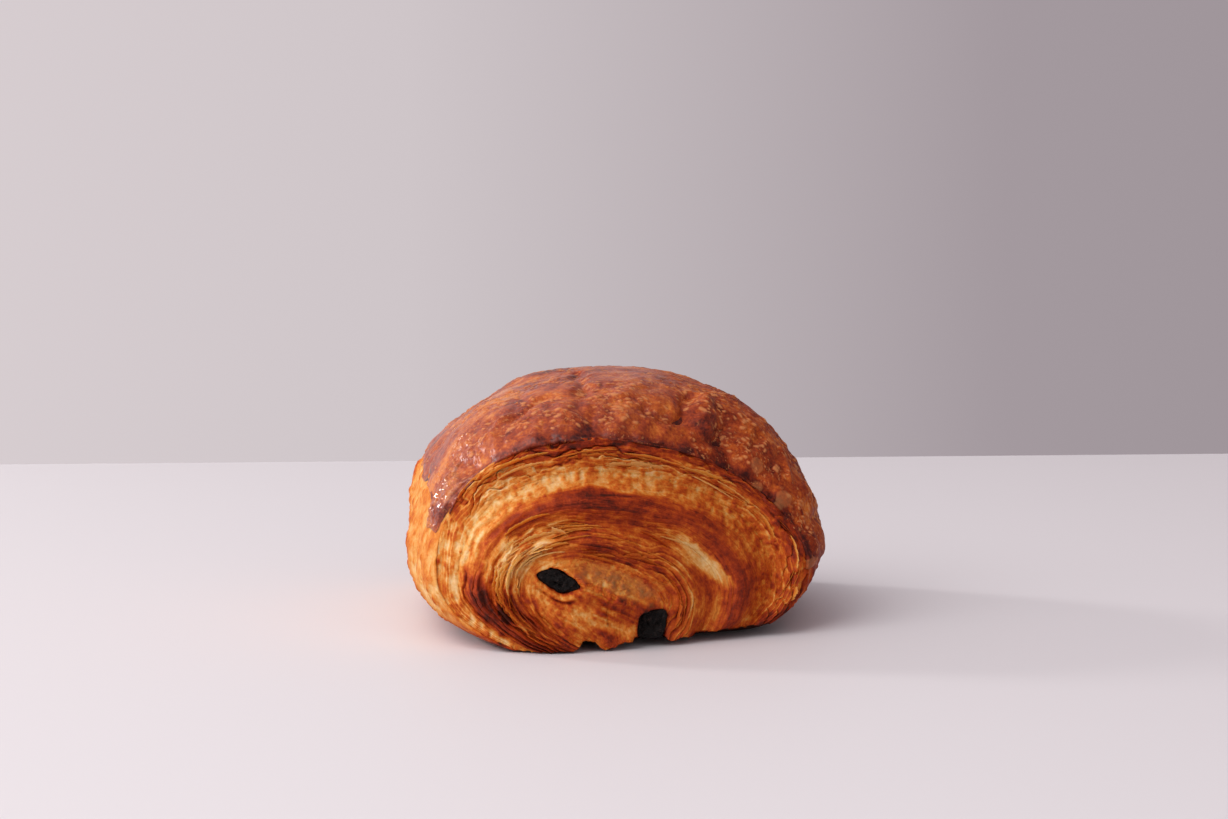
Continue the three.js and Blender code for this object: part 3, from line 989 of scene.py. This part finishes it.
def tucked_edge(angle, side):
    """The edge of the skin's under side, sunk into an end just inside its rim."""
    edge = end_surface(angle, np.full(len(angle), LIP_SHARE), side)[0]
    return edge - [0, side * LIP_TUCK, 0]


def shell_loops(top, inner, marks, bulge_front, bulge_back):
    """Closed loops over a shell: its top, a rounded lip, its under side and the other lip."""
    back_lip = rounded_lip(top[:, -1], inner[:, 0], bulge_back)
    front_lip = rounded_lip(inner[:, -1], top[:, 0], -bulge_front)
    points = np.concatenate([top, back_lip, inner, front_lip], axis=1)
    stand_on_ground(points)
    full = {}
    for mark, values in marks.items():
        back = np.repeat(values[:, -1:], len(LIP_STEPS), axis=1)
        front = np.repeat(values[:, :1], inner.shape[1] + len(LIP_STEPS), axis=1)
        full[mark] = np.concatenate([values, back, front], axis=1)
    return points, full


def stretch_ends(points, along, reach, share):
    """Draw the points of a length near both ends out along the roll."""
    points[..., 1] -= reach * (1 - smooth(0, share, along))
    points[..., 1] += reach * smooth(1 - share, 1, along)


def plain_crust():
    """The unglazed sides and base: pale gold and grainy at the sides, brown underneath."""
    angle = np.radians(np.linspace(142, 382, 460))
    grid_angle, grid_along = np.meshgrid(angle, np.linspace(0, 1, 190), indexing="ij")
    base = body_point(grid_angle, grid_along)
    z = base[..., 2]
    grains = rough_noise_at(base, (1.3, 1.3, 2.4), 3, 401)
    cells = spots(base * [1, 1, 0.5], 1.9, 0.85, 0.4, 0.95, 406)
    bands = noise_at(base, (20, 2.2, 5), 403)
    side = smooth(0.5, 6, z)
    relief = crust_relief(base) + side * (0.28 * grains + 0.45 * np.sqrt(cells) + 0.15 * bands)
    relief = mix(-0.2 * np.abs(grains), relief, side)
    top = base + body_normal(grid_angle, grid_along) * relief[..., None]
    stretch_ends(top, grid_along, 0.3 + 0.3 * noise(grid_angle * 5, 0, 0, 405), 0.07)
    under = np.meshgrid(angle, np.array((0.985, 0.93, 0.7, 0.3, 0.07, 0.015)), indexing="ij")
    inner = body_point(*under) - body_normal(*under) * 1.2

    left = smooth(0, 1, -np.cos(grid_angle))
    bake = 0.29 + 0.24 * grains + 0.2 * smooth(0.1, 0.6, cells) + 0.1 * bands
    bake += 0.38 * (1 - left) + 0.12 * noise_at(base, 8, 404) + 0.42 * (1 - smooth(0, 7, z))
    bake += 0.16 * left * bump(z, 12, 7) * noise_at(base, 5, 407)
    points, marks = shell_loops(top, inner, {"bake": np.clip(bake, 0, 1)}, 0.5, 0.5)
    return ring_solid("plain_crust", points, marks, crust_material)


# The glaze's borders in degrees and how far they waver, and its drip at the left front corner:
# how far down it hangs, and the shares of the length and of the way round where it lies.
GLAZE = SimpleNamespace(left=156, left_waver=3.5, right=-6, right_waver=5)
DRIP = SimpleNamespace(hang=11, border=(0.07, 0.105), along=(0.08, 0.11), across=(0.84, 0.9))


def glaze_border(along, side):
    """The angle at which the glaze ends on a side, 1 for the right, with the drip at the left."""
    waver = rough_noise(along * 7, side, 0, 3, 501)
    if side > 0:
        return np.radians(GLAZE.right + GLAZE.right_waver * waver)
    drip = smooth(0.0, 0.02, along) * (1 - smooth(*DRIP.border, along))
    return np.radians(GLAZE.left + GLAZE.left_waver * waver + DRIP.hang * drip)


def glaze_marks(angle, along, base, skin):
    """How brown, how blistered and how glossy the glaze is."""
    x = base[..., 0]
    degrees = np.degrees(angle)
    dabs = np.clip(0.5 + 1.3 * rough_noise_at(base, 6, 2, 506), 0, 1)
    bake = 0.57 + 0.40 * rough_noise_at(base, 13, 3, 503) + 0.20 * rough_noise_at(base, 3, 2, 504)
    bake += 0.30 * (1 - smooth(0, 0.012, along)) - 0.2 * smooth(-12, -32, x)
    bake -= 0.55 * dabs * bump(degrees, 116, 16) * smooth(0.12, 0.25, along)
    bake += 0.22 * dabs * bump(degrees, 62, 13) * bump(along, 0.14, 0.08)
    bake += 0.25 * bump(degrees, 92, 5) * bump(along, 0.02, 0.02) - 0.16 * skin.drip
    bake += 0.12 * np.clip(-skin.wrinkles, 0, 1) - 0.12 * (1 - skin.edges)
    blister = 0.85 * smooth(0.05, 0.45, skin.flecks) + 0.32 * smooth(0.0, 0.12, skin.broad)
    blister = np.clip(blister, 0, 1) * (1 - skin.drip)
    sheen = 0.36 * smooth(20, 4, x) + 0.25 * rough_noise_at(base, 8, 2, 505)
    gloss = np.clip(0.12 + sheen - 0.3 * smooth(18, 34, x) + 0.9 * skin.drip, 0, 1)
    return {"bake": np.clip(bake, 0, 1), "blister": blister, "gloss": gloss * (1 - 0.5 * blister)}


def glazed_crust(name, start, end, rows, columns):
    """A length of the glazed top: wrinkled, blistered skin that thins out down its sides."""
    along = np.linspace(start, end, columns)
    t = np.linspace(0, 1, rows)[:, None]
    grid_angle = mix(glaze_border(along, 1)[None], glaze_border(along, -1)[None], t)
    grid_along = np.broadcast_to(along, grid_angle.shape)
    base = body_point(grid_angle, grid_along)
    normal = body_normal(grid_angle, grid_along)
    x, z = base[..., 0], base[..., 2]

    cluster = smooth(-0.1, 0.3, rough_noise_at(base, 8, 2, 601) + 0.25 * bump(x, -8, 14))
    warp = np.stack([rough_noise_at(base, 2.0, 2, 610 + n) for n in range(3)], -1)
    flecks = spots(base * [0.75, 1.0, 1.1] + 0.8 * warp, 1.25, 0.95 * cluster, 0.3, 0.85, 602)
    drip = smooth(0.0, 0.015, grid_along) * (1 - smooth(*DRIP.along, grid_along))
    skin = SimpleNamespace(
        drip=drip * smooth(*DRIP.across, t),
        flecks=flecks * (1 + 0.6 * noise_at(base, 0.5, 603)) * smooth(0.008, 0.03, grid_along),
        broad=spots(base + 0.5 * warp, 6.5, 0.6, 1.4, 3.4, 604) * smooth(16, 26, x),
        wrinkles=1 - 2.4 * np.abs(rough_noise_at(base, (1.7, 2.4, 1.7), 2, 605)),
        edges=smooth(0, 0.03, t) * (1 - smooth(0.97, 1.0, t)))
    puckers = rough_noise(grid_angle * 13, grid_along * 5, 0, 2, 606)
    beads = np.abs(rough_noise_at(base, (1.6, 1.6, 2.4), 2, 607))
    thickness = 0.55 * skin.edges * (1 + 0.9 * skin.drip)
    relief = crust_relief(base) + fold_relief(grid_angle, grid_along) + thickness
    relief += 0.07 * skin.wrinkles + 0.4 * puckers * (1 - smooth(0.05, 0.3, grid_along))
    relief += 0.26 * np.sqrt(np.clip(skin.flecks, 0, 1)) + 0.30 * np.sqrt(skin.broad)
    relief += 0.6 * skin.drip * beads
    # The highest bumps are lowered, so that the roll stays about as tall as its solid.
    relief -= 0.6 * np.maximum(0, relief - 0.9) * smooth(47, 52, z)
    top = base + normal * relief[..., None]
    stretch_ends(top, grid_along, 0.1 + 0.7 * rough_noise(grid_angle * 4, 0, 3, 3, 502), 0.05)

    inner_at = mix(end, start, np.array([0.02, 0.1, 0.35, 0.65, 0.9, 0.985]))
    index = np.clip(np.searchsorted(along, inner_at), 0, columns - 1)
    inner = base[:, index] - normal[:, index] * (0.1 + 1.3 * thickness[:, index])[..., None]
    if start == 0:
        inner[:, -1] = tucked_edge(grid_angle[:, 0], FRONT)
    if end == 1:
        inner[:, 0] = tucked_edge(grid_angle[:, -1], BACK)
    marks = glaze_marks(grid_angle, grid_along, base, skin)
    points, marks = shell_loops(top, inner, marks, LIP_BULGE * (start == 0), LIP_BULGE * (end == 1))
    return ring_solid(name, points, marks, glaze)


def chocolate_stick(stick):
    """A stick: its blunt section along Y, with rough broken ends and a worn, pitted skin."""
    places, end_rings, side_rings = 150, 26, 14
    angle = np.arange(places) / places * TAU
    u = stick.wide / 2 * signed_power(np.cos(angle), 2 / stick.square)
    v = stick.tall / 2 * signed_power(np.sin(angle), 2 / stick.square)
    across, upward = stick.axes
    section = np.stack([
        u * np.cos(across) + v * np.cos(upward), 0 * u,
        u * np.sin(across) + v * np.sin(upward)], -1)
    reach = np.linspace(0.02, 1, end_rings)
    scales = np.concatenate([reach, np.ones(side_rings)])
    depths = np.concatenate([0.6 * reach ** 6, 0.6 + np.linspace(0.15, 6, side_rings)])
    cap = np.clip(1 - np.arange(len(scales)) / (end_rings - 1), 0, 1)[:, None]
    halves = []
    for side, y_end in zip((FRONT, BACK), stick_ends(stick)):
        away = section * scales[:, None, None]
        part = away + [stick.x, 0, stick.z]
        part[..., 1] += (y_end - side * depths)[:, None]
        inward = np.minimum(0.1, 0.7 * rough_noise_at(part, 1.3, 4, 701) - 0.1)
        inward -= 0.4 * np.clip(noise_at(part, 0.7, 702) - 0.3, 0, 1)
        part += unit(away) * (inward * (1 - cap) * 0.8)[..., None]
        part[..., 1] += side * inward * smooth(0, 0.3, cap) * 1.6
        halves.append(part[::-side])
    return ring_solid(stick.name + "_baked", np.concatenate(halves), {}, chocolate)


# Loose flakes: shares of the arches where they stand and how often, and the long ones that
# show: angles in degrees and shares of both tips, how far it stands out and how far it curls.
FLAKE_SHARES = np.array([
    (0.24, 0.08), (0.31, 0.12), (0.38, 0.16), (0.46, 0.12),
    (0.56, 0.06), (0.86, 0.14), (0.91, 0.18), (0.96, 0.14)])
LONG_FLAKES = (
    (104, 138, 0.94, 0.95, 1.4, 0.8),
    (108, 128, 0.89, 0.90, 1.3, 0.7),
    (82, 104, 0.93, 0.90, 1.2, 0.5),
    (60, 80, 0.90, 0.91, 1.1, 0.5),
    (150, 190, 0.37, 0.38, 1.2, 0.6),
    (140, 180, 0.33, 0.34, 1.1, 0.5),
    (138, 166, 0.45, 0.47, 0.9, 0.5),
)
# A flake's section: how far out and how far across each corner is, and how much paler.
FLAKE_SECTION = ((-1.2, 0.5), (0.25, 0.5), (1.0, 0.18), (1.0, -0.18), (0.25, -0.5), (-1.2, -0.5))
FLAKE_PALER = np.array([0.0, 0.05, 0.2, 0.2, 0.05, 0.0])
FLAKE_THICK = 0.15
FLAKE_STEPS = 34


def flake_places(side, count, rng):
    """Columns of the flakes: angle, half of it, share, its drift, length, how proud, curl, left."""
    share = rng.choice(FLAKE_SHARES[:, 0], count, p=FLAKE_SHARES[:, 1]) + rng.normal(0, 0.02, count)
    share = np.clip(share, 0.2, 0.95)
    left = rng.random(count) < 0.6
    share = np.where(left & (share > 0.6), share * 0.5, share)
    angle = np.radians(np.where(left, rng.uniform(100, 225, count), rng.uniform(-35, 120, count)))
    length = rng.uniform(3, 15, count)
    half = length / 2 / (10 + 26 * share)
    proud = rng.uniform(0.3, 1.1, count) * np.where(left, 1.0, 0.7)
    curl = rng.normal(0.3, 0.35, count)
    drift = rng.normal(0, 0.012, count)
    for row, flake in enumerate(LONG_FLAKES if side == FRONT else ()):
        start, end, share_start, share_end, proud[row], curl[row] = flake
        angle[row], half[row] = np.radians((start + end) / 2), np.radians(end - start) / 2
        share[row], drift[row] = (share_start + share_end) / 2, (share_end - share_start) / 2
    return [values[:, None] for values in (angle, half, share, drift, length, proud, curl, left)]


def loose_flakes(name, side, count, seed):
    """Thin sheets standing out of an end along its arches, pinched at both tips and curled."""
    rng = np.random.default_rng(seed)
    angle, half, share, drift, length, proud, curl, left = flake_places(side, count, rng)
    v = np.linspace(-1, 1, FLAKE_STEPS)
    at, along = angle + half * v, np.clip(share + drift * v, 0.05, 1)
    x, z, outward = arch_place(at, along)
    plane = LENGTH / 2 - layer_lean(at, along, side) + turn_relief(along, at, x, z)
    spine = np.stack([x, side * plane, z], -1)
    torn = 1 + 0.45 * rough_noise(v * length, np.arange(count)[:, None] * 7.7, 0, 2, seed)
    clear = np.minimum(*[stick_distance(stick, x, z) for stick in STICKS])
    shown = smooth(2.5, 5.0, z) * smooth(0.8, 1.8, clear)
    taper = np.sqrt(np.clip(1 - v ** 2, 0, 1)) * torn * shown
    rings = []
    for depth, across in FLAKE_SECTION:
        bend = curl * np.clip(depth, 0, 1) ** 2 * taper
        point = spine + outward * (bend + across * FLAKE_THICK * np.minimum(1, taper * 3))[..., None]
        point[..., 1] += side * depth * taper * (proud if depth > 0 else 1)
        rings.append(point)
    points = np.stack(rings, 2)
    points[..., 2] = np.maximum(points[..., 2], 0.3)
    flat = np.concatenate([points.reshape(count, -1, 3), spine[:, :1], spine[:, -1:]], 1)
    places = len(FLAKE_SECTION)
    offset = np.arange(count)[:, None, None] * flat.shape[1]
    quads = (face_table(FLAKE_STEPS, places, False) + offset).reshape(-1, 4)
    triangles = (pole_table(FLAKE_STEPS, places) + offset).reshape(-1, 3)

    around = end_surface(at, along, side)[1]["bake"].mean(1, keepdims=True)
    low = under_bundle_line(x, z) * left
    tone = around - 0.04 + rng.normal(0, 0.07, count)[:, None] + 0.1 * low
    pale = np.where(left | (share > 0.84), 1.0, 0.3) * (1 - 0.8 * low)
    bake = tone[..., None] - pale[..., None] * FLAKE_PALER
    bake = np.clip(bake.reshape(count, -1), 0.16, 1)
    bake = np.concatenate([bake, bake[:, :1], bake[:, -1:]], 1)
    return make_piece(name, flat.reshape(-1, 3), quads, triangles, {"bake": bake}, flake_material)


pastry_pieces = [
    turn_of_dough("core_layers", HEART_SHARE, CORE_TO, 500, 118, 40),
    turn_of_dough("middle_turn", CORE_TO, MIDDLE_TO, 640, 100, 40),
    turn_of_dough("outer_turn", MIDDLE_TO, 1.0, 700, 84, 40),
    plain_crust(),
    glazed_crust("glazed_crust_front", 0.0, 0.42, 470, 180),
    glazed_crust("glazed_crust_back", 0.42, 1.0, 360, 170),
    loose_flakes("front_flakes", FRONT, 110, 21),
    loose_flakes("back_flakes", BACK, 110, 22),
]
for piece in pastry_pieces:
    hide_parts("pastry")
for stick in STICKS:
    piece = chocolate_stick(stick)
    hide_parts(stick.name)


# The studio.

PHOTO_SIZE = (1228, 819)
LENS_PIXELS = 2900
SENSOR = 36.0
AIM_PIXEL = (613, 522)
AIM = np.array([0.0, 0.0, 20.0])
AZIMUTH, ELEVATION = np.radians(-4.0), np.radians(8.4)
DISTANCE = 640.0

# Square lights: place and size in metres, and watts.
LIGHTS = {
    "key": ((-0.62, -0.42, 0.75), 0.9, 7.0),
    "fill": ((0.35, -0.9, 0.55), 0.9, 1.6),
    "glint": ((-0.92, 0.36, 0.45), 0.13, 3.4),
}
LIGHT_COLOUR = (1.0, 0.97, 0.95)
LIGHT_AIM = Vector((0, 0, 0.02))
FLOOR = SimpleNamespace(side=2.0, front=-1.6, back=0.27, colour=(0.735, 0.715, 0.74, 1))
ROOM_COLOURS = (
    (0.0, (0.80, 0.74, 0.76)),
    (0.40, (0.70, 0.63, 0.65)),
    (0.50, (0.62, 0.56, 0.58)),
    (0.60, (0.37, 0.32, 0.345)),
    (1.0, (0.16, 0.14, 0.15)),
)


def place_object(name, data, place, look):
    """An object at a place, looking along a way with its top upward."""
    made = bpy.data.objects.new(name, data)
    made.location = place
    made.rotation_mode = "QUATERNION"
    made.rotation_quaternion = look.to_track_quat("-Z", "Y")
    bpy.context.scene.collection.objects.link(made)
    return made


def way_back(azimuth, elevation):
    """The unit way from what a camera sees to the camera."""
    level = np.cos(elevation)
    return np.array([np.sin(azimuth) * level, -np.cos(azimuth) * level, np.sin(elevation)])


def make_camera():
    """The photo's camera: it stands back from the aim point and turns it to its own pixel."""
    place = AIM + way_back(AZIMUTH, ELEVATION) * DISTANCE
    down = np.arctan((AIM_PIXEL[1] - PHOTO_SIZE[1] / 2) / LENS_PIXELS)
    aside = np.arctan((AIM_PIXEL[0] - PHOTO_SIZE[0] / 2) / LENS_PIXELS)
    look = Vector(-way_back(AZIMUTH + aside, ELEVATION - down))
    data = bpy.data.cameras.new("camera")
    data.sensor_width = SENSOR
    data.lens = SENSOR * LENS_PIXELS / PHOTO_SIZE[0]
    bpy.context.scene.camera = place_object("camera", data, Vector(place * MM), look)


def make_light(name, place, size, power):
    """A square soft light that faces the roll."""
    data = bpy.data.lights.new(name, "AREA")
    data.size = size
    data.energy = power
    data.color = LIGHT_COLOUR
    place_object(name, data, place, LIGHT_AIM - Vector(place))


def make_floor():
    """A pale floor that ends a little way behind the roll."""
    near, far = FLOOR.front, FLOOR.back
    corners = [(-FLOOR.side, near, 0), (FLOOR.side, near, 0), (FLOOR.side, far, 0), (-FLOOR.side, far, 0)]
    mesh = bpy.data.meshes.new("floor")
    mesh.from_pydata(corners, [], [(0, 1, 2, 3)])
    floor = bpy.data.objects.new("floor", mesh)
    bpy.context.scene.collection.objects.link(floor)
    material, tree, shader = new_material("pale_floor")
    fill_sockets(tree, shader, {"Base Color": FLOOR.colour, "Roughness": 0.6})
    mesh.materials.append(material)


def make_room():
    """A grey room that is brighter towards the window at the left."""
    world = bpy.data.worlds.new("studio")
    world.use_nodes = True
    tree = world.node_tree
    way = add_node(tree, "ShaderNodeTexCoord").outputs["Generated"]
    across = add_node(tree, "ShaderNodeSeparateXYZ", {"Vector": way}).outputs["X"]
    factor = plus(tree, times(tree, across, 0.5), 0.5, clamp=True)
    fill_sockets(tree, tree.nodes["Background"], {"Color": ramp_node(tree, factor, ROOM_COLOURS)})
    bpy.context.scene.world = world


make_camera()
for name, light in LIGHTS.items():
    make_light(name, *light)
make_floor()
make_room()
bpy.context.scene.view_settings.view_transform = "Standard"
